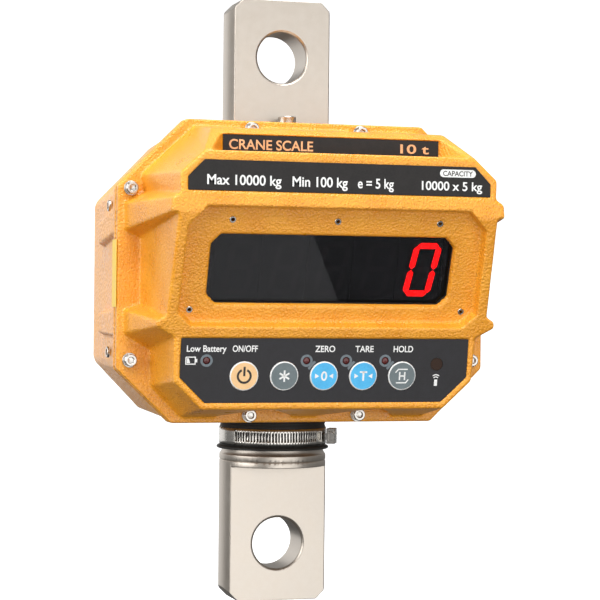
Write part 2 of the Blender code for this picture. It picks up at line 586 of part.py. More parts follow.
def make_key_panel(panel, looks):
    film = prism(mirrored(PANEL_OUTLINE), PANEL_FILM_FRONT, PANEL_DEPTH - GAP)
    overlay = add("keypad_overlay", film, looks["panel"], panel)
    stem_end, cap_back = -KEY_BOARD_Y + 0.8, -1.3
    for name, x, colour in zip(KEY_NAMES, key_places(), KEY_COLOURS):
        cut(overlay, disc(KEY_R + GAP, -4, 2), (x, 0, KEY_Z), (90, 0, 0))
        cap = ((0, stem_end), (KEY_STEM_R, stem_end), (KEY_STEM_R, cap_back), (KEY_R, cap_back),
               (KEY_R, -0.4), (KEY_R - 0.5, 0.1), (0, 0.1))
        add(name, turned(cap, SMALL + 8), looks[colour], panel, (x, 0, KEY_Z), (90, 0, 0))
    for name, x in zip(LED_NAMES, LED_X):
        cut(overlay, disc(LED_R + 0.2, -4, 2, 16), (x, 0, LED_Z), (90, 0, 0))
        lamp = ((0, -KEY_BOARD_Y + GAP), (LED_R, -KEY_BOARD_Y + GAP), (LED_R, -1.2),
                (0.7 * LED_R, -0.8), (0, -0.6))
        add(name, turned(lamp, 16), looks["led"], panel, (x, 0, LED_Z), (90, 0, 0))
    cut(overlay, disc(RECEIVER_R + 0.2, -4, 2), (RECEIVER_X, 0, RECEIVER_Z), (90, 0, 0))
    add("remote_receiver", disc(RECEIVER_R, -KEY_BOARD_Y + GAP, -0.9), looks["infrared"], panel,
        (RECEIVER_X, 0, RECEIVER_Z), (90, 0, 0))
    low, high = KEY_BOARD_Z
    board = block((-KEY_BOARD_HALF, KEY_BOARD_Y, low), (KEY_BOARD_HALF, KEY_BOARD_Y + BOARD_T, high))
    add("keypad_board", board, looks["board"], panel)


# ---- Inside -----------------------------------------------------------------------------------------------

def make_inside(frame, looks):
    """Bracket with the main board on its bosses, the battery, and the load cell's cable."""
    (left, right), (low, high) = BRACKET_X, BRACKET_Z
    sheet = block((left, BRACKET_Y, low), (right, BRACKET_Y + BRACKET_T, high))
    bracket = add("board_bracket", sheet, looks["steel"], frame)
    for x in (left + 10, right - 10):
        for z in (low + 10, high - 10):
            boss = disc(3.0, -MAIN_BOARD_Y + GAP, -BRACKET_Y - 1, 12)
            join(bracket, boss, (x, 0, z), (90, 0, 0))
    board = block((left + 4, MAIN_BOARD_Y, low + 4), (right - 4, MAIN_BOARD_Y + BOARD_T, high - 4))
    add("main_board", board, looks["board"], frame)
    add("battery", block(BATTERY_LOW, BATTERY_HIGH), looks["battery"], frame)
    cable = bpy.data.curves.new("cell_cable", "CURVE")
    cable.dimensions = "3D"
    cable.bevel_depth = CABLE_R * MM
    cable.bevel_resolution = 2
    cable.use_fill_caps = True
    route = [Vector((-25.6 - 4.4 * t, -25.6 - 27.4 * t + 3 * sin(pi * t), 20 - 8 * t)) for t in
             (i / 10 for i in range(11))]
    spline = cable.splines.new("POLY")
    spline.points.add(len(route) - 1)
    for point, place in zip(spline.points, route):
        point.co = (*(place * MM), 1)
    cable.materials.append(looks["rubber"])
    obj = bpy.data.objects.new("cell_cable", cable)
    bpy.context.scene.collection.objects.link(obj)
    obj.parent = frame


# ---- Rear door and charging socket ------------------------------------------------------------------------

def make_rear(frame, looks):
    seal_y = REAR_Y + GAP
    (left, right), (low, high) = DOOR_X, DOOR_Z
    bay = ((BATTERY_LOW[0] - 1.2, BATTERY_LOW[2] - 1.2), (BATTERY_HIGH[0] + 1.2, BATTERY_HIGH[2] + 1.2))

    def frame_outline(by):
        (x0, z0), (x1, z1) = bay
        return [(x0 - by, z0 - by), (x1 + by, z0 - by), (x1 + by, z1 + by), (x0 - by, z1 + by)]

    add("battery_door_seal", ring_block(frame_outline(4.0), frame_outline(0.0), seal_y, seal_y + DOOR_SEAL_T),
        looks["rubber"], frame)
    hinge = empty("door_hinge", frame, (0, HINGE_Y, HINGE_Z))
    door_y = seal_y + DOOR_SEAL_T + GAP
    near_corner = (left, door_y - HINGE_Y, low - HINGE_Z)
    far_corner = (right, door_y + DOOR_T - HINGE_Y, high - HINGE_Z)
    door = add("battery_door", block(near_corner, far_corner), looks["orange"], hinge)
    rounded(door, 1.0, 1)
    near, far = DOOR_KNUCKLE
    join(door, block((near + 1, -1.6, high - HINGE_Z - 2), (far - 1, 1.6, 0)))
    join(door, disc(HINGE_R - 0.2, near, far), turn=(0, 90, 0))
    cut(door, disc(HINGE_PIN_R + GAP, near - 1, far + 1), turn=(0, 90, 0))
    add("hinge_pin", disc(HINGE_PIN_R, CASING_KNUCKLES[0][0], CASING_KNUCKLES[1][1]), looks["chrome"], frame,
        (0, HINGE_Y, HINGE_Z), (0, 90, 0))
    for number, (x, z) in enumerate(DOOR_SCREW_SPOTS, 1):
        spot = (x, 0, z - HINGE_Z)
        cut(door, disc(DOOR_SCREW_R + 0.5, -20, 20), spot, (90, 0, 0))
        outside = door_y + DOOR_T + GAP
        knob = turned(((0, 7.5), (DOOR_SCREW_R, 7.5), (DOOR_SCREW_R, -GAP), (KNOB_R, -GAP),
                       (KNOB_R, -KNOB_T + 0.8), (KNOB_R - 0.8, -KNOB_T), (0, -KNOB_T)), SMALL)
        screw = add(f"door_screw_{number}", knob, looks["chrome"], frame, (x, outside - GAP, z), (90, 0, 0))
        cut(screw, block((-KNOB_R - 1, -0.7, -KNOB_T - 1), (KNOB_R + 1, 0.7, -KNOB_T + 1.6)),
            (x, outside - GAP, z), (90, 0, 0))
    socket = turned(((0, REAR_Y - 16), (SOCKET_R - 2, REAR_Y - 16), (SOCKET_R - 2, REAR_Y + GAP),
                     (SOCKET_R + 2, REAR_Y + GAP), (SOCKET_R + 2, REAR_Y + 3), (SOCKET_R - 1, REAR_Y + 3),
                     (SOCKET_R - 1, REAR_Y + 8), (0, REAR_Y + 8)), SMALL)
    add("charger_socket", socket, looks["chrome"], frame, (SOCKET_X, 0, SOCKET_Z), (-90, 0, 0))
    cap = turned(((0, 8.3), (SOCKET_R - 0.7, 8.3), (SOCKET_R - 0.7, 3.3), (SOCKET_R + 2, 3.3),
                  (SOCKET_R + 2, 10.2), (SOCKET_R + 1.2, 11.0), (0, 11.0)), SMALL)
    add("charger_cap", cap, looks["rubber"], frame, (SOCKET_X, REAR_Y, SOCKET_Z), (-90, 0, 0))


# ---- Bottom boot and hose clamp ---------------------------------------------------------------------------

def make_boot(frame, looks):
    inside = NECK_R + GAP
    boot = (
        (inside, -107.6), (BOOT_RIM_R, -108.4), (BOOT_RIM_R, -106.6), (BOOT_R, -105.4), (BOOT_R, -78.4),
        (46.0, -78.4), (46.0, -76.4), (inside, -76.4),
    )
    add("rubber_boot", turned(boot, ROUND, closed=True), looks["rubber"], frame)
    inner, outer = BOOT_R + GAP, BOOT_R + GAP + BAND_T
    add("clamp_band", tube(outer, inner, BAND_LOW, BAND_HIGH), looks["steel"], frame)
    housing = empty("clamp_frame", frame, (0, 0, (BAND_LOW + BAND_HIGH) / 2), (0, 0, CLAMP_ANGLE))
    near, far = outer + GAP, outer + HOUSING_DEEP
    box = block((near, -HOUSING_HALF, -HOUSING_TALL), (far, HOUSING_HALF, HOUSING_TALL))
    shell = add("clamp_housing", box, looks["steel"], housing)
    cut(shell, disc(outer + 1.5, -10, 10, ROUND))
    centre = outer + WORM_CENTRE
    cut(shell, disc(WORM_R + 0.4, -20, 20), (centre, 0, 0), (90, 0, 0))
    neck, end = HOUSING_HALF + 0.5, HOUSING_HALF + 4.0
    worm = turned(((0, -neck - 1), (WORM_R, -neck - 1), (WORM_R, neck), (WORM_R + 0.6, neck),
                   (WORM_R + 0.6, end), (0, end)), SMALL)
    screw = add("clamp_screw", worm, looks["chrome"], housing, (centre, 0, 0), (90, 0, 0))
    cut(screw, block((-0.6, -6, end - 1.4), (0.6, 6, end + 1)), (centre, 0, 0), (90, 0, 0))


# ---- Assembly ---------------------------------------------------------------------------------------------

def plane_frame(name, parent, upper, lower):
    """An empty in the middle of a casing face, turned so that its z runs up the face."""
    (z1, y1), (z0, y0) = upper, lower
    lean = degrees(atan2(y0 - y1, z1 - z0))
    return empty(name, parent, (0, (y0 + y1) / 2, (z0 + z1) / 2), (lean, 0, 0))


def main():
    for obj in list(bpy.data.objects):
        bpy.data.objects.remove(obj)
    looks = {
        "orange": material("orange_coat", (0.89, 0.35, 0.03), 0.45),
        "steel": material("nickel_steel", (0.62, 0.57, 0.5), 0.35, 1.0),
        "chrome": material("chromed_steel", (0.8, 0.78, 0.75), 0.15, 1.0),
        "rubber": material("black_rubber", (0.02, 0.02, 0.02), 0.7),
        "smoked": material("smoked_window", (0.03, 0.03, 0.035), 0.08, 0.0, 0.6),
        "digit": material("digit_module", (0.02, 0.02, 0.02), 0.5),
        "board": material("circuit_board", (0.03, 0.2, 0.06), 0.5),
        "plate": material("black_plate", (0.02, 0.02, 0.02), 0.4),
        "panel": material("panel_film", (0.035, 0.035, 0.04), 0.4),
        "key_orange": material("key_orange", (0.85, 0.55, 0.28), 0.4),
        "key_grey": material("key_grey", (0.13, 0.17, 0.19), 0.4),
        "key_blue": material("key_blue", (0.09, 0.53, 0.86), 0.4),
        "led": material("led_lens", (0.25, 0.05, 0.04), 0.2),
        "infrared": material("infrared_window", (0.03, 0.015, 0.01), 0.15),
        "battery": material("battery_case", (0.05, 0.05, 0.06), 0.5),
        "sticker": material("seal_sticker", (0.95, 0.75, 0.12), 0.4),
    }
    frame = empty("casing_frame", None, (0, 0, -UPPER_EYE_Z))
    display = plane_frame("display_frame", frame, FRONT_FOLDS[2], FRONT_FOLDS[3])
    panel = plane_frame("panel_frame", frame, FRONT_FOLDS[3], FRONT_FOLDS[4])
    make_load_cell(frame, looks["steel"])
    make_gauge_sleeve(frame, looks["battery"])
    make_upper_fixing(frame, looks["rubber"], looks["steel"], looks["chrome"])
    make_front_casing(frame, display, panel, looks["orange"])
    make_rear_casing(frame, looks["orange"])
    make_casing_gasket(frame, looks["rubber"])
    make_casing_screws(frame, looks["chrome"])
    make_display(display, looks)
    make_plates(frame, looks)
    make_key_panel(panel, looks)
    make_inside(frame, looks)
    make_rear(frame, looks)
    make_boot(frame, looks)


main()
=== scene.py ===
"""The looks of the ten-tonne crane scale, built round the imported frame.

Lengths are in millimetres until MM turns them into metres; only the camera, the lights and the floor are
placed in metres. Turned pieces are drawn in the casing's frame, whose origin is the middle of the bar.
Artwork is drawn on a face's own plane, as (x, z) points: x to the right and z up the face, from the middle
of the face that face_plane() finds.
"""

import json
from math import cos, pi, radians, sin, tan

import bmesh
import bpy
from mathutils import Matrix, Vector

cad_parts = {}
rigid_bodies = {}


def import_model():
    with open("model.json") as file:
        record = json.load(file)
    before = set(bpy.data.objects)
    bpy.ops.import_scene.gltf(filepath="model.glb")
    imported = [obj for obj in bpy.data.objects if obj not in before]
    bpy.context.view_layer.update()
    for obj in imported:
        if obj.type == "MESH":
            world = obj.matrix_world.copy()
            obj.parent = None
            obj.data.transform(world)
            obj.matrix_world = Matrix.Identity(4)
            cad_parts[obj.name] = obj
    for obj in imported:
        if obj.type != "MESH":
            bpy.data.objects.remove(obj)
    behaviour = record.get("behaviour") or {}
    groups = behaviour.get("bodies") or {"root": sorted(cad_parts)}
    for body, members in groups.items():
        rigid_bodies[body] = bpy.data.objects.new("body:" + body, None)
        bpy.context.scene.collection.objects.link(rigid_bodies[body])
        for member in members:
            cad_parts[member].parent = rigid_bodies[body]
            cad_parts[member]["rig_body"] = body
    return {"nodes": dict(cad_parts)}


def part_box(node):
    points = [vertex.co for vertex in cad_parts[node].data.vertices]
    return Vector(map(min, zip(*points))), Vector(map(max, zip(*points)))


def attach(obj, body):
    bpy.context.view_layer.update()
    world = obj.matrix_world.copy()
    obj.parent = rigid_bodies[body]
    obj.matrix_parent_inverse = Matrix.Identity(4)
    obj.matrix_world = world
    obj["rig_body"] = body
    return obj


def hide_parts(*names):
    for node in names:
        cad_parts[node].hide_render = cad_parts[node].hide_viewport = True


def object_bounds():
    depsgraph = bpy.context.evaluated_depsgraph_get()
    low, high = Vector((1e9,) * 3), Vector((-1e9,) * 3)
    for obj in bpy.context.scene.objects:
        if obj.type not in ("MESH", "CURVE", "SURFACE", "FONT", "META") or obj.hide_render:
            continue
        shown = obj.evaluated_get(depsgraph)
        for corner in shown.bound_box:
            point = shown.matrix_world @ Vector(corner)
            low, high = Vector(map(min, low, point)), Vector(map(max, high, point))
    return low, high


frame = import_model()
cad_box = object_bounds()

MM = 0.001
NODES = frame["nodes"]

# Camera, lights and floor, in metres
CAMERA_PLACE = (-0.4040, -1.4135, -0.176)
CAMERA_YAW = radians(-16.7)
CAMERA_ROLL = 0.01
LENS_MM, SENSOR_MM = 120.0, 36.0
OBJECT_MIDDLE = (0, 0, -0.176)
SOFT_LIGHTS = (  # name, place, width and height, brightness; all face the middle of the object
    ("left_softbox", (-1.9, -0.5, 0.4), (1.7, 1.7), 3.2),
    ("front_softbox", (-0.6, -1.9, 1.7), (1.9, 1.0), 5.6),
    ("front_card", (0.5, -2.6, -0.4), (3.2, 1.9), 1.7),
    ("top_softbox", (0.1, -0.5, 1.6), (1.4, 1.4), 4.8),
    ("back_card", (-0.9, 2.6, 0.0), (2.2, 2.0), 0.9),
)
GLARE_OFFSET, GLARE_SIZE, GLARE_BRIGHTNESS = Vector((-0.025, -0.34, -0.27)), (0.3, 0.34), 0.5
GLARE_ROLL = radians(20)
WORLD_HEIGHTS, WORLD_BRIGHTNESS = (-0.35, 0.25), (0.12, 0.42)
FLOOR_GAP, FLOOR_REACH, FLOOR_SWEEP, FLOOR_GLOW = 0.12, 4.0, 0.8, 0.7

# Load-cell bar
UPPER_EYE_Z, LOWER_EYE_Z, EYE_REACH = 176.0, -177.0, 41.5
BAR_R, NECK_R, EYE_HALF_THICKNESS, EYE_CORNER = 39.0, 36.5, 16.0, 9.4
EYE_BORE_R, EYE_BORE_CHAMFER = 18.5, 1.5
GAUGE_R, GAUGE_LOW, GAUGE_HIGH = 30.0, -62.0, 66.0
SHOULDER_Z, LOWER_SHOULDER_Z, LOWER_FLAT_Z = 106.0, -112.6, -121.0
RELIEF_TOP, RELIEF_DEPTH = 124.2, 0.3
GROOVE_Z, GROOVE_DEPTH = -116.8, 0.7

# Screws: shank radius, length, head radius, head height, half of the socket's width across flats, its depth
CASING_SCREW = (2.5, 12.0, 4.25, 5.0, 2.0, 2.5)
CASING_WASHER = (5.0, 1.0)
RETAINING_SCREW = (4.0, 32.4, 6.5, 8.0, 3.0, 4.5)
RETAINING_SPOT_Y, RETAINING_HOLE_R = 30.0, 4.4
CASING_SCREW_TURN, RETAINING_SCREW_TURN = radians(195), radians(306)  # from each screw to the next
PLATE_R, PLATE_LOW, PLATE_HIGH = 44.0, 121.8, 123.6

# Bottom boot and hose clamp
BOOT_IN_R, BOOT_R, BOOT_RIM_R = 36.8, 38.6, 41.0
BAND_IN_R, BAND_T, BAND_LOW, BAND_HIGH = 38.95, 0.65, -105.0, -93.0
TAIL_START, TAIL_END = 197.7, 318.0  # degrees from +X: the slotted end of the band
SLOTS_START, SLOTS_END, SLOT_PITCH, SLOT_W, SLOT_H = 211.5, 311.8, 2.2, 1.2, 6.3

# Display, measured from the middle of the window's front face
LEDGE_FRONT = 5.3  # how far the frame's ledge stands before the window
LEDGE_HOLES = ((-72.0, 34.65), (0.0, 34.65), (72.0, 34.65), (-95.5, -28.05), (95.5, -28.05))
DIGIT_W, DIGIT_H, SEGMENT_W, DIGIT_SLANT = 19.8, 38.1, 4.0, tan(radians(8.0))
DIGIT_SHIFT, POINT_X, POINT_R = 2.4, 13.4, 1.7

# Threaded inserts: outer radius, bore radius and how far they stand out
LEDGE_INSERT, SIDE_INSERT = (2.3, 1.25, 0.25), (3.9, 2.3, 0.4)
SIDE_FACE_X, SIDE_HOLE_Y, SIDE_HOLE_HEIGHTS = 129.0, -25.0, (65.0, -38.0)

# Key panel, measured from the middle of the film
KEY_Z, LED_Z, LABEL_Z, LABEL_H = -3.6, 6.8, 12.8, 4.2
KEY_DISC_R, KEY_RING_R = 9.1, 9.9
LED_RING_IN_R, LED_RING_OUT_R = 2.6, 4.2
DROP_START_HALF, DROP_END_HALF = 3.2, 3.6  # half widths of a lamp's drop shape, at the lamp and at its key


# ---- Materials --------------------------------------------------------------------------------------------

def rgb(red, green, blue):
    """A linear colour from the usual 0 to 255 values."""
    def linear(value):
        share = value / 255
        return share / 12.92 if share <= 0.04045 else ((share + 0.055) / 1.055) ** 2.4
    return tuple(linear(v) for v in (red, green, blue))


def finish(name, low, high, roughness, grain, bump, metallic=0.0, cells=False, stretch=(1, 1, 1),
           edge_highlight=None, **sockets):
    """A procedural surface. low and high are its two tones, roughness its range, grain its texture's size
    in millimetres and bump its height. cells makes a leathery texture, edge_highlight the colour of a
    highlight painted on sharp edges."""
    made = bpy.data.materials.new(name)
    made.use_nodes = True
    tree = made.node_tree
    shader = tree.nodes["Principled BSDF"]
    shader.inputs["Metallic"].default_value = metallic
    for socket, value in sockets.items():
        shader.inputs[socket.replace("_", " ")].default_value = value

    def node(kind, **values):
        new = tree.nodes.new("ShaderNode" + kind)
        for key, value in values.items():
            setattr(new, key, value)
        return new

    def noise_at(size, detail):
        texture = node("TexNoise")
        texture.inputs["Scale"].default_value = 1 / (size * MM)
        texture.inputs["Detail"].default_value = detail
        tree.links.new(mapping.outputs["Vector"], texture.inputs["Vector"])
        return texture.outputs["Fac"]

    place = node("TexCoord")
    mapping = node("Mapping")
    mapping.inputs["Scale"].default_value = stretch
    tree.links.new(place.outputs["Object"], mapping.inputs["Vector"])
    fine = noise_at(grain, 3.0)
    broad = noise_at(grain * 14, 2.0)

    tone = node("Mix", data_type="RGBA")
    mottle = node("Math", operation="ADD")
    tree.links.new(fine, mottle.inputs[0])
    tree.links.new(broad, mottle.inputs[1])
    spread = node("MapRange")  # the two noises add up to about 1
    spread.inputs["From Min"].default_value = 0.75
    spread.inputs["From Max"].default_value = 1.25
    tree.links.new(mottle.outputs[0], spread.inputs["Value"])
    tree.links.new(spread.outputs["Result"], tone.inputs["Factor"])
    tone.inputs["A"].default_value = (*low, 1)
    tone.inputs["B"].default_value = (*high, 1)
    colour = tone.outputs["Result"]
    # Painted highlight: sharp edges, found by pointiness, get pale specks of edge_highlight in place of the
    # light glinting off them.
    if edge_highlight:
        edge = node("NewGeometry")
        ramp = node("MapRange")  # pointiness is 0.5 on flat faces, and more on edges
        ramp.inputs["From Min"].default_value = 0.53
        ramp.inputs["From Max"].default_value = 0.60
        tree.links.new(edge.outputs["Pointiness"], ramp.inputs["Value"])
        highlight_spots = node("Math", operation="MULTIPLY")
        tree.links.new(ramp.outputs["Result"], highlight_spots.inputs[0])
        tree.links.new(fine, highlight_spots.inputs[1])
        highlighted = node("Mix", data_type="RGBA")
        tree.links.new(highlight_spots.outputs[0], highlighted.inputs["Factor"])
        tree.links.new(colour, highlighted.inputs["A"])
        highlighted.inputs["B"].default_value = (*edge_highlight, 1)
        colour = highlighted.outputs["Result"]
    tree.links.new(colour, shader.inputs["Base Color"])

    gloss = node("MapRange")
    gloss.inputs["From Min"].default_value = 0.3
    gloss.inputs["From Max"].default_value = 0.7
    gloss.inputs["To Min"].default_value, gloss.inputs["To Max"].default_value = roughness
    tree.links.new(broad, gloss.inputs["Value"])
    tree.links.new(gloss.outputs["Result"], shader.inputs["Roughness"])

    height = fine
    if cells:
        cell = node("TexVoronoi", feature="SMOOTH_F1")
        cell.inputs["Scale"].default_value = 1 / (grain * MM)
        cell.inputs["Smoothness"].default_value = 0.6
        tree.links.new(mapping.outputs["Vector"], cell.inputs["Vector"])
        both = node("Math", operation="MULTIPLY_ADD")
        both.inputs[1].default_value = 0.3
        tree.links.new(fine, both.inputs[0])
        tree.links.new(cell.outputs["Distance"], both.inputs[2])
        height = both.outputs[0]
    relief = node("Bump")
    relief.inputs["Strength"].default_value = 1.0
    relief.inputs["Distance"].default_value = bump * MM
    tree.links.new(height, relief.inputs["Height"])
    tree.links.new(relief.outputs["Normal"], shader.inputs["Normal"])
    return made


def lamp_surface(name, colour, strength):
    """A lit surface that is a little uneven, like a diffused light segment."""
    made = finish(name, colour, colour, (0.4, 0.5), 1.0, 0.02)
    shader = made.node_tree.nodes["Principled BSDF"]
    shader.inputs["Emission Color"].default_value = (*colour, 1)
    shader.inputs["Emission Strength"].default_value = strength
    return made


def make_looks():
    orange_low, orange_high = rgb(233, 152, 36), rgb(244, 168, 48)
    # The pale colour of the highlight painted on the coat's sharp edges.
    painted_highlight = rgb(250, 208, 140)
    return {
        "front_coat": finish("front_coat", orange_low, orange_high, (0.26, 0.36), 1.4, 0.55, cells=True,
                             edge_highlight=painted_highlight, Coat_Weight=0.2, Coat_Roughness=0.25),
        "rear_coat": finish("rear_coat", orange_low, orange_high, (0.26, 0.36), 2.2, 1.1, cells=True,
                            edge_highlight=painted_highlight, Coat_Weight=0.1, Coat_Roughness=0.25),
        "nickel": finish("nickel", rgb(186, 177, 166), rgb(192, 184, 174), (0.36, 0.40), 0.5, 0.003, 1.0),
        "chrome": finish("chrome", rgb(184, 180, 174), rgb(202, 198, 192), (0.2, 0.3), 0.6, 0.008, 1.0),
        "stainless": finish("stainless", rgb(190, 186, 180), rgb(208, 204, 197), (0.2, 0.28), 0.5, 0.004,
                            1.0, stretch=(0.2, 0.2, 1)),
        "rubber": finish("rubber", rgb(20, 19, 18), rgb(32, 30, 28), (0.5, 0.7), 0.9, 0.04),
        "plate": finish("plate", rgb(24, 21, 20), rgb(36, 33, 32), (0.42, 0.52), 0.6, 0.015,
                        Specular_IOR_Level=0.3),
        "panel": finish("panel", rgb(36, 35, 37), rgb(44, 43, 46), (0.45, 0.55), 0.5, 0.012,
                        Specular_IOR_Level=0.3),
        "key_orange": finish("key_orange", rgb(232, 188, 132), rgb(240, 198, 144), (0.4, 0.5), 0.7, 0.01),
        "key_grey": finish("key_grey", rgb(94, 106, 109), rgb(106, 117, 120), (0.4, 0.5), 0.7, 0.01),
        "key_blue": finish("key_blue", rgb(62, 168, 220), rgb(80, 186, 236), (0.4, 0.5), 0.7, 0.01),
        "led": finish("led", rgb(70, 22, 22), rgb(96, 38, 36), (0.12, 0.2), 0.8, 0.01),
        "infrared": finish("infrared", rgb(40, 22, 10), rgb(52, 32, 18), (0.3, 0.4), 0.8, 0.01,
                           Specular_IOR_Level=0.2),
        "white_ink": finish("white_ink", rgb(226, 226, 224), rgb(240, 240, 238), (0.4, 0.5), 0.5, 0.008),
        "black_ink": finish("black_ink", rgb(28, 20, 16), rgb(38, 28, 22), (0.4, 0.5), 0.5, 0.008),
        "grey_ink": finish("grey_ink", rgb(96, 106, 112), rgb(108, 118, 124), (0.4, 0.5), 0.5, 0.008),
        "copper_ink": finish("copper_ink", rgb(206, 152, 104), rgb(226, 178, 130), (0.3, 0.42), 0.5, 0.008),
        "digit": finish("digit", rgb(4, 3, 4), rgb(6, 5, 6), (0.6, 0.7), 1.0, 0.01, Specular_IOR_Level=0.1),
        "unlit": finish("unlit", rgb(60, 44, 46), rgb(68, 52, 54), (0.5, 0.6), 1.0, 0.01,
                        Specular_IOR_Level=0.1),
        "lit": lamp_surface("lit", (0.8, 0.001, 0.001), 26.0),
        "window": finish("window", rgb(96, 96, 102), rgb(100, 100, 106), (0.01, 0.02), 9.0, 0.0,
                         Transmission_Weight=1.0, IOR=1.45),
        "board": finish("board", rgb(10, 66, 34), rgb(18, 90, 48), (0.35, 0.5), 1.2, 0.03),
        "battery": finish("battery", rgb(44, 46, 52), rgb(58, 60, 66), (0.45, 0.6), 0.8, 0.03),
        "sticker": finish("sticker", rgb(238, 196, 26), rgb(246, 208, 40), (0.35, 0.45), 0.8, 0.01),
    }


# ---- Mesh helpers -----------------------------------------------------------------------------------------

def body_of(node):
    return NODES[node]["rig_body"]


def link(name, mesh, look, body, smooth=30):
    """An object for a finished mesh, riding on a CAD body."""
    obj = bpy.data.objects.new(name, mesh)
    bpy.context.scene.collection.objects.link(obj)
    mesh.materials.clear()
    mesh.materials.append(look)
    mesh.shade_smooth()
    mesh.set_sharp_from_angle(angle=radians(smooth))
    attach(obj, body)
    return obj


def mesh_from(bm, name):
    bmesh.ops.recalc_face_normals(bm, faces=bm.faces)
    mesh = bpy.data.meshes.new(name)
    bm.to_mesh(mesh)
    bm.free()
    return mesh


def welded(node):
    """A copy of a CAD node's mesh with its corners joined and its flat faces whole."""
    bm = bmesh.new()
    bm.from_mesh(NODES[node].data)
    bmesh.ops.remove_doubles(bm, verts=bm.verts, dist=1e-6)
    bmesh.ops.dissolve_limit(bm, angle_limit=radians(0.5), verts=bm.verts, edges=bm.edges)
    return mesh_from(bm, node)


def applied(obj):
    """Turns an object's modifiers into its mesh."""
    graph = bpy.context.evaluated_depsgraph_get()
    mesh = bpy.data.meshes.new_from_object(obj.evaluated_get(graph))
    obj.modifiers.clear()
    obj.data = mesh
    return mesh


def stand_in(node, mesh, look, smooth=30):
    """The piece that is seen instead of a CAD node."""
    obj = link(node + "_finish", mesh, look, body_of(node), smooth)
    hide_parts(node)
    return obj


def firm(obj):
    """Lets the large faces of an object set its shading, so that they look flat beside rounded edges."""
    obj.data.shade_smooth()
    obj.data.set_sharp_from_angle(angle=radians(40))
    weighted = obj.modifiers.new("shading", "WEIGHTED_NORMAL")
    weighted.keep_sharp = True
    weighted.weight = 100
    applied(obj)


def rounded(obj, width, segments=2):
    """Rounds an object's edges for good."""
    bevel = obj.modifiers.new("edges", "BEVEL")
    bevel.width = width * MM
    bevel.segments = segments
    bevel.limit_method = "ANGLE"
    bevel.angle_limit = radians(32)
    bevel.use_clamp_overlap = segments < 2
    applied(obj)
    firm(obj)


def refine(node, look, width):
    """Shows a CAD node with its edges rounded."""
    rounded(stand_in(node, welded(node), look), width, 1)


def cast(node, look):
    """Shows a CAD node as a casting: every edge and inside corner gets a soft round."""
    obj = stand_in(node, welded(node), look)
    remesh = obj.modifiers.new("skin", "REMESH")
    remesh.mode = "VOXEL"
    remesh.voxel_size = 0.9 * MM
    soften = obj.modifiers.new("soften", "SMOOTH")
    soften.factor = 0.5
    soften.iterations = 4
    thin = obj.modifiers.new("thin", "DECIMATE")
    thin.ratio = 0.5
    applied(obj).shade_smooth()


def carve(obj, bm):
    """Cuts a shape out of an object for good."""
    tool = bpy.data.objects.new("tool", mesh_from(bm, "tool"))
    bpy.context.scene.collection.objects.link(tool)
    modifier = obj.modifiers.new("cut", "BOOLEAN")
    modifier.operation = "DIFFERENCE"
    modifier.object = tool
    applied(obj)
    bpy.data.objects.remove(tool)


def raised(height):
    """A move along Z, from the casing's frame to a height in the world."""
    return Matrix.Translation((0, 0, (height - UPPER_EYE_Z) * MM))


def bridged(bm, loops, closed=False):
    """Joins loops of points into a skin, with a cap at both ends unless it closes on itself."""
    loops = [[bm.verts.new(Vector(p) * MM) for p in loop] for loop in loops]
    for one, two in zip(loops, loops[1:] + loops[:1] if closed else loops[1:]):
        for i in range(len(one)):
            j = (i + 1) % len(one)
            bm.faces.new((one[i], one[j], two[j], two[i]))
    if not closed:
        bm.faces.new(loops[0])
        bm.faces.new(loops[-1])


def circle(radius, height, sides=96):
    angles = [2 * pi * i / sides for i in range(sides)]
    return [(radius * cos(a), radius * sin(a), height) for a in angles]


def turned(profile, sides=96, closed=False):
    """A body turned about Z from points of (radius, height)."""
    bm = bmesh.new()
    bridged(bm, [circle(r, z, sides) for r, z in profile], closed)
    return bm


def block(low, high):
    bm = bmesh.new()
    (x0, y0, z0), (x1, y1, z1) = low, high
    bridged(bm, [[(x0, y0, z), (x1, y0, z), (x1, y1, z), (x0, y1, z)] for z in (z0, z1)])
    return bm


# ---- Load-cell bar ----------------------------------------------------------------------------------------

def cut_eye_flats(bar, half, low, high):
    """Cuts two slabs off a round bar, which leave its eye flat."""
    reach = BAR_R + 3
    for near, far in ((half, reach), (-reach, -half)):
        carve(bar, block((-reach, near, low), (reach, far, high)))


def cut_retaining_holes(obj, low, high):
    for side in (-1, 1):
        bm = turned(((RETAINING_HOLE_R, low), (RETAINING_HOLE_R, high)), 32)
        bm.transform(Matrix.Translation((0, side * RETAINING_SPOT_Y * MM, 0)))
        carve(obj, bm)


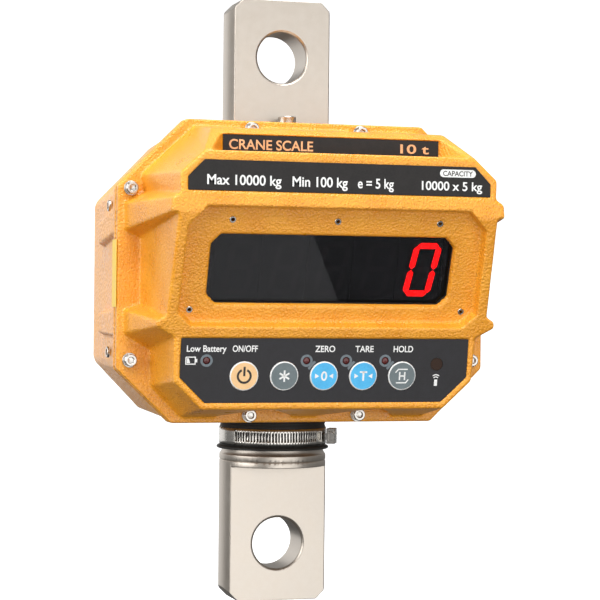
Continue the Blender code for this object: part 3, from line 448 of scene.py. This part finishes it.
def make_bar():
    bottom, top = LOWER_EYE_Z - EYE_REACH, UPPER_EYE_Z + EYE_REACH
    profile = (
        (BAR_R, bottom), (BAR_R, LOWER_SHOULDER_Z), (BAR_R - 0.8, LOWER_SHOULDER_Z + 0.9),
        (NECK_R, LOWER_SHOULDER_Z + 4.0), (NECK_R, GAUGE_LOW - 8), (GAUGE_R, GAUGE_LOW),
        (GAUGE_R, GAUGE_HIGH), (BAR_R, GAUGE_HIGH + 10), (BAR_R, top),
    )
    bar = stand_in("load_cell", mesh_from(turned(profile, 128), "bar"), LOOKS["nickel"])
    for low, high in ((bottom - 5, LOWER_FLAT_Z), (SHOULDER_Z, top + 5)):
        cut_eye_flats(bar, EYE_HALF_THICKNESS, low, high)
    reach = BAR_R + 3
    for end, direction in ((bottom, 1), (top, -1)):
        for side in (-1, 1):
            near, far = side * (BAR_R - EYE_CORNER), side * (BAR_R + 1)
            corner = ((near, end), (far, end + direction * (EYE_CORNER + 1)), (far, end - direction),
                      (near, end - direction))
            bm = bmesh.new()
            bridged(bm, [[(x, y, z) for x, z in corner] for y in (-reach, reach)])
            carve(bar, bm)
    half, flare = EYE_HALF_THICKNESS, EYE_BORE_CHAMFER
    bore = ((EYE_BORE_R + flare + 1, -half - 1), (EYE_BORE_R, -half + flare), (EYE_BORE_R, half - flare),
            (EYE_BORE_R + flare + 1, half + 1))
    for height in (UPPER_EYE_Z, LOWER_EYE_Z):
        bm = turned(bore, 128)
        bm.transform(Matrix.Translation((0, 0, height * MM)) @ Matrix.Rotation(pi / 2, 4, "X"))
        carve(bar, bm)
    rounded(bar, 0.55)
    cut_eye_flats(bar, half - RELIEF_DEPTH, SHOULDER_Z + 0.1, RELIEF_TOP)
    near, far = BAR_R - GROOVE_DEPTH, BAR_R + 1
    carve(bar, turned(((near, GROOVE_Z - 0.1), (near, GROOVE_Z + 0.1), (far, GROOVE_Z + 1.4),
                       (far, GROOVE_Z - 1.4)), 128, closed=True))
    cut_retaining_holes(bar, 86, SHOULDER_Z + 1)
    bar.data.transform(raised(0))
    firm(bar)


def make_retaining_plate():
    edge = 0.3
    profile = ((PLATE_R - edge, PLATE_LOW), (PLATE_R, PLATE_LOW + edge), (PLATE_R, PLATE_HIGH - edge),
               (PLATE_R - edge, PLATE_HIGH))
    plate = stand_in("retaining_plate", mesh_from(turned(profile), "plate"), LOOKS["nickel"])
    reach, half = BAR_R + 0.5, EYE_HALF_THICKNESS + 0.5
    slot_bm = turned(((reach, PLATE_LOW - 1), (reach, PLATE_HIGH + 1)))
    for vert in slot_bm.verts:
        vert.co.y = max(-half * MM, min(half * MM, vert.co.y))
    bmesh.ops.remove_doubles(slot_bm, verts=slot_bm.verts, dist=1e-6)
    bmesh.ops.dissolve_limit(slot_bm, angle_limit=radians(0.5), verts=slot_bm.verts, edges=slot_bm.edges)
    carve(plate, slot_bm)
    cut_retaining_holes(plate, PLATE_LOW - 1, PLATE_HIGH + 1)
    plate.data.transform(raised(0))
    firm(plate)


# ---- Screws -----------------------------------------------------------------------------------------------

def cap_screw(screw, washer=(0.0, 0.0), sides=72):
    """A knurled socket screw seated at z = 0 with its head above, and the washer under the head."""
    shank_r, length, head_r, head_h, socket, depth = screw
    washer_r, seat = washer
    top = seat + head_h

    def ring(height, radius, knurl=0.0, hexagonal=False):
        points = []
        for i in range(sides):
            angle = 2 * pi * i / sides
            reach = radius / cos(angle % (pi / 3) - pi / 6) if hexagonal else radius - knurl * (i % 2)
            points.append((reach * cos(angle), reach * sin(angle), height))
        return points

    bm = bmesh.new()
    bridged(bm, [
        ring(-length, shank_r - 0.4), ring(-length + 0.5, shank_r), ring(seat, shank_r),
        ring(seat, head_r - 0.25), ring(seat + 0.3, head_r), ring(seat + 0.4, head_r, 0.16),
        ring(top - 0.9, head_r, 0.16), ring(top - 0.7, head_r), ring(top, head_r - 0.6),
        ring(top, socket * 1.22), ring(top - 0.3, socket, hexagonal=True),
        ring(top - depth, socket, hexagonal=True), ring(top - depth - 0.3, 0.3),
    ])
    if washer_r:
        edge = 0.15
        bridged(bm, [circle(r, z, sides) for r, z in (
            (shank_r + 0.2, 0), (washer_r - edge, 0), (washer_r, edge), (washer_r, seat - edge),
            (washer_r - edge, seat), (shank_r + 0.2, seat))], closed=True)
    return bm


def make_screws():
    for name in NODES:
        low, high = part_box(name)
        middle = (low + high) / 2
        if name.startswith("casing_screw"):
            bm, turn = cap_screw(CASING_SCREW, CASING_WASHER), CASING_SCREW_TURN
            seat_y = low.y + (CASING_WASHER[1] + CASING_SCREW[3]) * MM
            place = Matrix.Translation((middle.x, seat_y, middle.z)) @ Matrix.Rotation(pi / 2, 4, "X")
        elif name.startswith("retaining_screw"):
            bm, turn = cap_screw(RETAINING_SCREW), RETAINING_SCREW_TURN
            place = Matrix.Translation((middle.x, middle.y, high.z - RETAINING_SCREW[3] * MM))
        else:
            continue
        bm.transform(place @ Matrix.Rotation(turn * int(name[-1]), 4, "Z"))
        stand_in(name, mesh_from(bm, name), LOOKS["chrome"])


# ---- Boot and hose clamp ----------------------------------------------------------------------------------

def make_boot():
    profile = [(BOOT_IN_R, -107.5), (BOOT_RIM_R - 0.7, -108.4), (BOOT_RIM_R, -107.9), (BOOT_RIM_R, -107.0),
               (BOOT_RIM_R - 0.5, -106.5), (BOOT_R + 0.4, -105.8), (BOOT_R, -105.2), (BOOT_R, -92.0)]
    for height in (-89.5, -86.5, -83.5):  # shallow ridges of the bellows over the band
        profile += [(BOOT_R - 0.5, height - 1.1), (BOOT_R, height - 0.4), (BOOT_R, height + 0.4),
                    (BOOT_R - 0.5, height + 1.1)]
    profile += [(BOOT_R, -80.5), (BOOT_R, -78.4), (46.0, -78.4), (46.0, -76.4), (BOOT_IN_R, -76.4)]
    bm = turned(profile, closed=True)
    bm.transform(raised(0))
    stand_in("rubber_boot", mesh_from(bm, "boot"), LOOKS["rubber"], 50)


def band_sheet(bm, radius, start, end, slots):
    """A strip of band as an open skin. slots holds the angles at which its slots start and end."""
    rows = (BAND_LOW, (BAND_LOW + BAND_HIGH - SLOT_H) / 2, (BAND_LOW + BAND_HIGH + SLOT_H) / 2, BAND_HIGH)
    marks = [start + (end - start) * i / 90 for i in range(91)]
    edges = sorted(set([m for m in marks if not any(a - 0.2 < m < b + 0.2 for a, b in slots)] +
                       [angle for pair in slots for angle in pair]))
    grid = [[bm.verts.new((radius * MM * cos(radians(a)), radius * MM * sin(radians(a)), z * MM))
             for z in rows] for a in edges]
    starts = {a for a, _ in slots}
    for left, right, angle in zip(grid, grid[1:], edges):
        for row in range(3):
            if row == 1 and angle in starts:
                continue
            bm.faces.new((left[row], right[row], right[row + 1], left[row + 1]))


def make_band():
    pitch = SLOT_PITCH / BAND_IN_R * 180 / pi
    width = SLOT_W / BAND_IN_R * 180 / pi
    count = int((SLOTS_END - SLOTS_START) / pitch)
    slots = [(SLOTS_START + i * pitch, SLOTS_START + i * pitch + width) for i in range(count)]
    bm = bmesh.new()
    band_sheet(bm, BAND_IN_R, TAIL_END + 0.3 - 360, TAIL_START + 8, [])
    band_sheet(bm, BAND_IN_R + BAND_T + 0.05, TAIL_START, TAIL_START + 13, [])
    # Painted shade: the slotted tail has no plain steel layer beneath it, so the black boot shows through the
    # slots and darkens them in place of their shade.
    band_sheet(bm, BAND_IN_R, TAIL_START + 13.2, TAIL_END, slots)
    bm.transform(raised(0))
    band = stand_in("clamp_band", mesh_from(bm, "band"), LOOKS["stainless"], 25)
    solid = band.modifiers.new("thickness", "SOLIDIFY")
    solid.thickness = BAND_T * MM
    solid.offset = 0.0
    applied(band)


# ---- Artwork ----------------------------------------------------------------------------------------------

def face_plane(node):
    """A matrix on the middle of a node's front: x to the right, y into the node and z up the face."""
    mesh = NODES[node].data

    def level_with(facing):
        return [p for p in mesh.polygons if p.normal.dot(facing.normal) > 0.999
                and abs((p.center - facing.center).dot(facing.normal)) < 0.05 * MM]

    fronts = sorted((p for p in mesh.polygons if p.normal.y < -0.7), key=lambda p: -p.area)[:12]
    facing = max(fronts, key=lambda p: sum(other.area for other in level_with(p)))
    inward = -facing.normal
    up = Vector((1, 0, 0)).cross(inward).normalized()
    corners = [mesh.vertices[i].co for p in level_with(facing) for i in p.vertices]
    xs, zs = [c.x for c in corners], [c.dot(up) for c in corners]
    middle = Vector(((min(xs) + max(xs)) / 2, 0, 0)) + up * (min(zs) + max(zs)) / 2
    middle += inward * facing.center.dot(inward)
    turn = Matrix((Vector((1, 0, 0)), inward, up)).transposed()
    return Matrix.Translation(middle) @ turn.to_4x4()


def thicken(bm, faces, depth):
    """Draws flat faces out towards the viewer."""
    moved = bmesh.ops.extrude_face_region(bm, geom=faces)["geom"]
    bmesh.ops.translate(bm, vec=(0, -depth * MM, 0),
                        verts=[v for v in moved if isinstance(v, bmesh.types.BMVert)])


def arc(radius, start, end, middle=(0, 0), steps=48):
    """Points on an arc. Angles are in degrees from +x, counter-clockwise."""
    angles = [radians(start + (end - start) * i / steps) for i in range(steps + 1)]
    return [(middle[0] + radius * cos(a), middle[1] + radius * sin(a)) for a in angles]


def disc(radius, middle=(0, 0)):
    return arc(radius, 0, 360, middle)[:-1]


def stroke(points, width):
    """The outline of a line of that width through the points, with square ends."""
    points = [Vector(p) for p in points]
    steps = [(b - a).normalized() for a, b in zip(points, points[1:])]
    left, right = [], []
    for i, point in enumerate(points):
        before, after = steps[max(i - 1, 0)], steps[min(i, len(steps) - 1)]
        along = (before + after).normalized()
        across = Vector((-along.y, along.x))
        reach = across * (width / 2 / along.dot(before))
        left.append(tuple(point + reach))
        right.append(tuple(point - reach))
    return left + right[::-1]


def closed_ring(outer, inner, middle=(0, 0)):
    """A ring in two halves, as outlines."""
    return [arc(outer, a, a + 180, middle, 24) + arc(inner, a + 180, a, middle, 24) for a in (0, 180)]


def artwork(name, plane, look, body, outlines, back=0.0, front=0.1):
    """Flat pieces of (x, z) outlines, between two distances before their plane."""
    bm = bmesh.new()
    for outline in outlines:
        face = bm.faces.new([bm.verts.new((x * MM, -back * MM, z * MM)) for x, z in outline])
        thicken(bm, [face], front - back)
    bm.transform(plane)
    link(name, mesh_from(bm, name), LOOKS[look], body)


def flat_text(text):
    """The filled outline of a text in Blender's own font, as a mesh in the XY plane."""
    curve = bpy.data.curves.new("text", "FONT")
    curve.body = text
    curve.offset = 0.016
    curve.fill_mode = "FRONT"
    obj = bpy.data.objects.new("text", curve)
    bpy.context.scene.collection.objects.link(obj)
    graph = bpy.context.evaluated_depsgraph_get()
    mesh = bpy.data.meshes.new_from_object(obj.evaluated_get(graph))
    bpy.data.objects.remove(obj)
    return mesh


def lettering(name, plane, look, words, back=0.0, front=0.1):
    """Lettering as thin solids. words holds (text, left, right, baseline, height of a capital)."""
    capital = max(v.co.y for v in flat_text("H").vertices)
    bm = bmesh.new()
    for text, left, right, base, height in words:
        flat = flat_text(text)
        xs = [v.co.x for v in flat.vertices]
        across, up = (right - left) / (max(xs) - min(xs)), height / capital
        start = min(xs)
        for vert in flat.vertices:
            x, z = left + (vert.co.x - start) * across, base + vert.co.y * up
            vert.co = (x * MM, -back * MM, z * MM)
        bm.from_mesh(flat)
    bmesh.ops.remove_doubles(bm, verts=bm.verts, dist=1e-7)
    thicken(bm, bm.faces[:], front - back)
    bm.transform(plane)
    link(name, mesh_from(bm, name), LOOKS[look], "root")


def make_plates():
    name_face, rating_face = face_plane("name_plate"), face_plane("rating_plate")
    lettering("name_lettering", name_face, "copper_ink",
              (("CRANE SCALE", -71.4, -13.6, -3.6, 6.4), ("10 t", 48.0, 68.5, -3.0, 6.0)))
    lettering("rating_lettering", rating_face, "white_ink", (
        ("Max 10000 kg", -91.8, -42.0, -6.0, 6.4), ("Min 100 kg", -34.5, 3.4, -6.0, 6.4),
        ("e = 5 kg", 10.4, 35.4, -6.0, 6.4), ("10000 x 5 kg", 55.2, 98.2, -6.0, 5.8)))
    left, right, height, radius = 68.0, 93.6, 5.35, 2.6
    pill = arc(radius, 90, 270, (left + radius, height), 16)
    pill += arc(radius, -90, 90, (right - radius, height), 16)
    artwork("capacity_pill", rating_face, "white_ink", "root", (pill,))
    lettering("capacity_lettering", rating_face, "black_ink",
              (("CAPACITY", 70.2, 91.4, 3.7, 3.3),), 0.1, 0.16)


def segment(start, end, width):
    """A pointed display segment between two corners of a digit."""
    gap = 0.35
    start, end = Vector(start), Vector(end)
    along = (end - start).normalized()
    across = Vector((-along.y, along.x)) * (width / 2)
    start, end = start + along * gap, end - along * gap
    near, far = start + along * width / 2, end - along * width / 2
    return [tuple(p) for p in (start, near - across, far - across, end, far + across, near + across)]


def make_digits():
    half, reach = (DIGIT_W - SEGMENT_W) / 2, (DIGIT_H - SEGMENT_W) / 2
    bars = {
        "top": ((-half, reach), (half, reach)), "middle": ((-half, 0), (half, 0)),
        "bottom": ((-half, -reach), (half, -reach)), "upper_left": ((-half, 0), (-half, reach)),
        "upper_right": ((half, 0), (half, reach)), "lower_left": ((-half, -reach), (-half, 0)),
        "lower_right": ((half, -reach), (half, 0)),
    }
    for number in range(1, 6):
        plane = face_plane(f"digit_module_{number}")
        lit, dark = [], [disc(POINT_R, (POINT_X, -reach - 0.4))]
        for name, (start, end) in bars.items():
            outline = [(x + DIGIT_SHIFT + z * DIGIT_SLANT, z) for x, z in segment(start, end, SEGMENT_W)]
            (lit if number == 5 and name != "middle" else dark).append(outline)
        artwork(f"unlit_segments_{number}", plane, "unlit", "root", dark, 0.02, 0.1)
        if lit:
            artwork("lit_segments", plane, "lit", "root", lit, 0.02, 0.14)


# ---- Key panel --------------------------------------------------------------------------------------------

def power_symbol():
    return [stroke(arc(4.4, 115, 425), 1.5), stroke([(0, 0), (0, 6.4)], 1.5)]


def star_symbol():
    return [stroke([(0, 0), (3.9 * cos(radians(a)), 3.9 * sin(radians(a)))], 1.2) for a in range(30, 390, 60)]


def arrows():
    return [[(side * 6.4, 1.7), (side * 6.4, -1.7), (side * 3.5, 0)] for side in (-1, 1)]


def zero_symbol():
    oval = [(x * 0.66, z) for x, z in arc(3.3, 0, 360)]
    inner = [(x * 0.29, z * 0.64) for x, z in arc(3.3, 360, 0)]
    half = len(oval) // 2
    halves = [oval[:half + 1] + inner[half:], oval[half:] + inner[:half + 1]]
    return halves + arrows()


def tare_symbol():
    return [stroke([(0, -3.3), (0, 3.3)], 1.3), stroke([(-2.6, 2.7), (2.6, 2.7)], 1.2)] + arrows()


def hold_symbol():
    letter = [stroke([(x, -2.8), (x, 2.8)], 1.0) for x in (-1.8, 1.8)] + [stroke([(-1.8, 0), (1.8, 0)], 1.0)]
    brackets = [[(-4.9, 2.3), (-2.9, 4.6), (3.8, 4.6)], [(4.6, -2.3), (2.8, -4.7), (-4.2, -4.7)]]
    return letter + [stroke(points, 0.8) for points in brackets]


KEYS = {
    "key_power": ("key_orange", "black_ink", power_symbol),
    "key_function": ("key_grey", "white_ink", star_symbol),
    "key_zero": ("key_blue", "white_ink", zero_symbol),
    "key_tare": ("key_blue", "white_ink", tare_symbol),
    "key_hold": ("key_grey", "white_ink", hold_symbol),
}


def make_keys():
    for name, (colour, ink, symbol) in KEYS.items():
        plane, body = face_plane(name), body_of(name)
        artwork(name + "_disc", plane, colour, body, (disc(KEY_DISC_R),), 0.0, 0.06)
        artwork(name + "_symbol", plane, ink, body, symbol(), 0.06, 0.12)


def make_panel():
    plane = face_plane("keypad_overlay")
    middle_x = plane.translation.x

    def across(node):
        low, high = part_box(node)
        return ((low.x + high.x) / 2 - middle_x) / MM

    lettering("panel_lettering", plane, "white_ink", [
        (text, x - width / 2, x + width / 2, LABEL_Z, LABEL_H) for text, x, width in (
            ("Low Battery", -83.5, 27.0), ("ON/OFF", across("key_power"), 17.3),
            ("ZERO", across("key_zero"), 14.0), ("TARE", across("key_tare"), 13.0),
            ("HOLD", across("key_hold"), 14.0))])
    rings, drops = [], []
    leds = {"led_low_battery": None, "led_zero": "key_zero", "led_tare": "key_tare", "led_hold": "key_hold"}
    for led, key in leds.items():
        spot = Vector((across(led), LED_Z))
        rings += closed_ring(LED_RING_OUT_R, LED_RING_IN_R, spot)
        if key:
            towards = Vector((across(key), KEY_Z)) - spot
            along = towards.normalized()
            side = Vector((-along.y, along.x))
            near = spot + along * (LED_RING_OUT_R - 0.2)
            far = spot + along * (towards.length - KEY_RING_R - 0.7)
            drops.append([tuple(p) for p in (
                near + side * DROP_START_HALF, near - side * DROP_START_HALF,
                far - side * DROP_END_HALF, far + side * DROP_END_HALF)])
    artwork("lamp_rings", plane, "grey_ink", "root", rings + drops)
    battery = [stroke([(-97.3, 9.1), (-97.3, 4.4), (-91.0, 4.4), (-91.0, 9.1), (-97.3, 9.1)], 0.7),
               [(-90.6, 5.6), (-89.6, 5.6), (-89.6, 7.9), (-90.6, 7.9)],
               [(-96.6, 5.1), (-94.4, 5.1), (-95.4, 8.4), (-96.6, 8.4)]]
    middle = across("remote_receiver")
    remote = [stroke(arc(3.4, 48, 132, (middle, -6.3)), 0.7), stroke(arc(2.2, 42, 138, (middle, -6.6)), 0.7),
              stroke([(middle, -6.2), (middle, -10.6)], 2.2)]
    artwork("panel_icons", plane, "white_ink", "root", battery + remote)


def bush(place, outer, inner, proud):
    """A thin metal ring round a hole. place puts its z along the way out of the hole."""
    bm = bmesh.new()
    bridged(bm, [circle(r, z, 32) for r, z in ((inner, -1.2), (inner, proud - 0.1), (inner + 0.15, proud),
                                               (outer - 0.25, proud), (outer, proud - 0.25), (outer, -1.2))],
            closed=True)
    bm.transform(place)
    return bm


def make_bushes():
    """Threaded inserts in the display frame and in the rear casing's sides."""
    window = face_plane("display_window")
    joined = bmesh.new()
    for x, z in LEDGE_HOLES:
        spot = window @ Matrix.Translation((x * MM, -LEDGE_FRONT * MM, z * MM))
        joined.from_mesh(mesh_from(bush(spot @ Matrix.Rotation(pi / 2, 4, "X"), *LEDGE_INSERT), "bush"))
    for side in (-1, 1):
        for height in SIDE_HOLE_HEIGHTS:
            spot = raised(height) @ Matrix.Translation((side * SIDE_FACE_X * MM, SIDE_HOLE_Y * MM, 0))
            out = Matrix.Rotation(side * pi / 2, 4, "Y")
            joined.from_mesh(mesh_from(bush(spot @ out, *SIDE_INSERT), "bush"))
    link("threaded_inserts", mesh_from(joined, "inserts"), LOOKS["chrome"], "root")


# ---- Camera, lights and floor -----------------------------------------------------------------------------

def make_camera():
    data = bpy.data.cameras.new("camera")
    data.lens, data.sensor_width = LENS_MM, SENSOR_MM
    camera = bpy.data.objects.new("camera", data)
    bpy.context.scene.collection.objects.link(camera)
    ahead = Vector((-sin(CAMERA_YAW), cos(CAMERA_YAW), 0))
    level = Vector((ahead.y, -ahead.x, 0))
    up = Vector((0, 0, 1))
    right = level * cos(CAMERA_ROLL) + up * sin(CAMERA_ROLL)
    top = up * cos(CAMERA_ROLL) - level * sin(CAMERA_ROLL)
    turn = Matrix((right, top, -ahead)).transposed()
    camera.matrix_world = Matrix.Translation(CAMERA_PLACE) @ turn.to_4x4()
    bpy.context.scene.camera = camera


def soft_light(name, place, target, size, radiance, roll=0.0):
    """A rectangular light of an even brightness. roll turns it about the way it points."""
    data = bpy.data.lights.new(name, "AREA")
    data.shape = "RECTANGLE"
    data.size, data.size_y = size
    data.energy = radiance * pi * size[0] * size[1]
    light = bpy.data.objects.new(name, data)
    bpy.context.scene.collection.objects.link(light)
    aim = (Vector(target) - Vector(place)).to_track_quat("-Z", "Y").to_matrix().to_4x4()
    light.matrix_world = Matrix.Translation(place) @ aim @ Matrix.Rotation(roll, 4, "Z")
    light.visible_camera = False


def make_world():
    """A white surround that is brighter above the horizon."""
    world = bpy.data.worlds.new("studio")
    world.use_nodes = True
    tree = world.node_tree
    place = tree.nodes.new("ShaderNodeTexCoord")
    split = tree.nodes.new("ShaderNodeSeparateXYZ")
    ramp = tree.nodes.new("ShaderNodeMapRange")
    ramp.inputs["From Min"].default_value, ramp.inputs["From Max"].default_value = WORLD_HEIGHTS
    ramp.inputs["To Min"].default_value, ramp.inputs["To Max"].default_value = WORLD_BRIGHTNESS
    tree.links.new(place.outputs["Generated"], split.inputs["Vector"])
    tree.links.new(split.outputs["Z"], ramp.inputs["Value"])
    tree.links.new(ramp.outputs["Result"], tree.nodes["Background"].inputs["Strength"])
    tree.nodes["Background"].inputs["Color"].default_value = (1.0, 1.0, 1.0, 1)
    bpy.context.scene.world = world


def make_lights():
    for name, place, size, radiance in SOFT_LIGHTS:
        soft_light(name, place, OBJECT_MIDDLE, size, radiance)
    window = face_plane("display_window").translation  # the glare card is what the window mirrors
    soft_light("glare_card", window + GLARE_OFFSET, window, GLARE_SIZE, GLARE_BRIGHTNESS, GLARE_ROLL)


def make_floor():
    """White paper that curves up all round. It is seen, but neither lights nor shades the object."""
    floor_z, reach, sweep = cad_box[0][2] - FLOOR_GAP, FLOOR_REACH, FLOOR_SWEEP
    profile = [(0.01, floor_z), (reach - sweep, floor_z)]
    profile += [(reach - sweep + sweep * sin(a), floor_z + sweep - sweep * cos(a))
                for a in (i * pi / 24 for i in range(1, 13))]
    profile.append((reach, floor_z + reach))
    bm = turned([(r / MM, z / MM) for r, z in profile])
    bmesh.ops.delete(bm, geom=[f for f in bm.faces if f.calc_center_median().z > floor_z + reach * 0.99],
                     context="FACES_ONLY")
    mesh = mesh_from(bm, "floor")
    paper = finish("paper", (0.86, 0.86, 0.86), (0.9, 0.9, 0.9), (0.7, 0.8), 3.0, 0.05)
    shader = paper.node_tree.nodes["Principled BSDF"]
    shader.inputs["Emission Color"].default_value = (1, 1, 1, 1)
    shader.inputs["Emission Strength"].default_value = FLOOR_GLOW
    mesh.materials.append(paper)
    mesh.shade_smooth()
    floor = bpy.data.objects.new("floor", mesh)
    bpy.context.scene.collection.objects.link(floor)
    floor.visible_diffuse = False
    floor.visible_glossy = False
    floor.visible_shadow = False


# ---- Assembly ---------------------------------------------------------------------------------------------

LOOKS = make_looks()
PLAIN = {  # nodes that keep their CAD shape
    "gauge_sleeve": "rubber", "upper_seal": "rubber", "casing_gasket": "rubber", "window_gasket": "rubber",
    "battery_door_seal": "rubber", "cell_cable": "rubber", "board_bracket": "nickel",
    "display_window": "window", "display_board": "board", "keypad_board": "board", "main_board": "board",
    "battery": "battery", "keypad_overlay": "panel", "remote_receiver": "infrared",
}
for name, node in NODES.items():
    key = PLAIN.get(name) or ("digit" if name.startswith("digit_module") else
                              "led" if name.startswith("led_") else
                              "white_ink" if name.startswith("key_") else "chrome")
    for slot in node.material_slots:
        slot.material = LOOKS[key]

bpy.context.scene.view_settings.view_transform = "Standard"
make_camera()
make_world()
make_lights()
make_floor()
make_bar()
make_retaining_plate()
cast("front_casing", LOOKS["front_coat"])
cast("rear_casing", LOOKS["rear_coat"])
make_screws()
make_boot()
make_band()
make_plates()
make_digits()
make_panel()
make_keys()
make_bushes()
for name, look, slot, width in (
    ("battery_door", "rear_coat", "orange_coat", 0.6), ("clamp_housing", "stainless", "stainless_band", 0.6),
    ("clamp_screw", "chrome", "chromed_steel", 0.3), ("door_screw_1", "chrome", "chromed_steel", 0.3),
    ("door_screw_2", "chrome", "chromed_steel", 0.3), ("hinge_pin", "chrome", "chromed_steel", 0.3),
    ("charger_socket", "chrome", "chromed_steel", 0.3), ("charger_cap", "rubber", "black_rubber", 0.6),
    ("name_plate", "plate", "black_plate", 0.2), ("rating_plate", "plate", "black_plate", 0.2),
    ("seal_sticker", "sticker", "yellow_film", 0.1),
):
    refine(name, LOOKS[look], width)
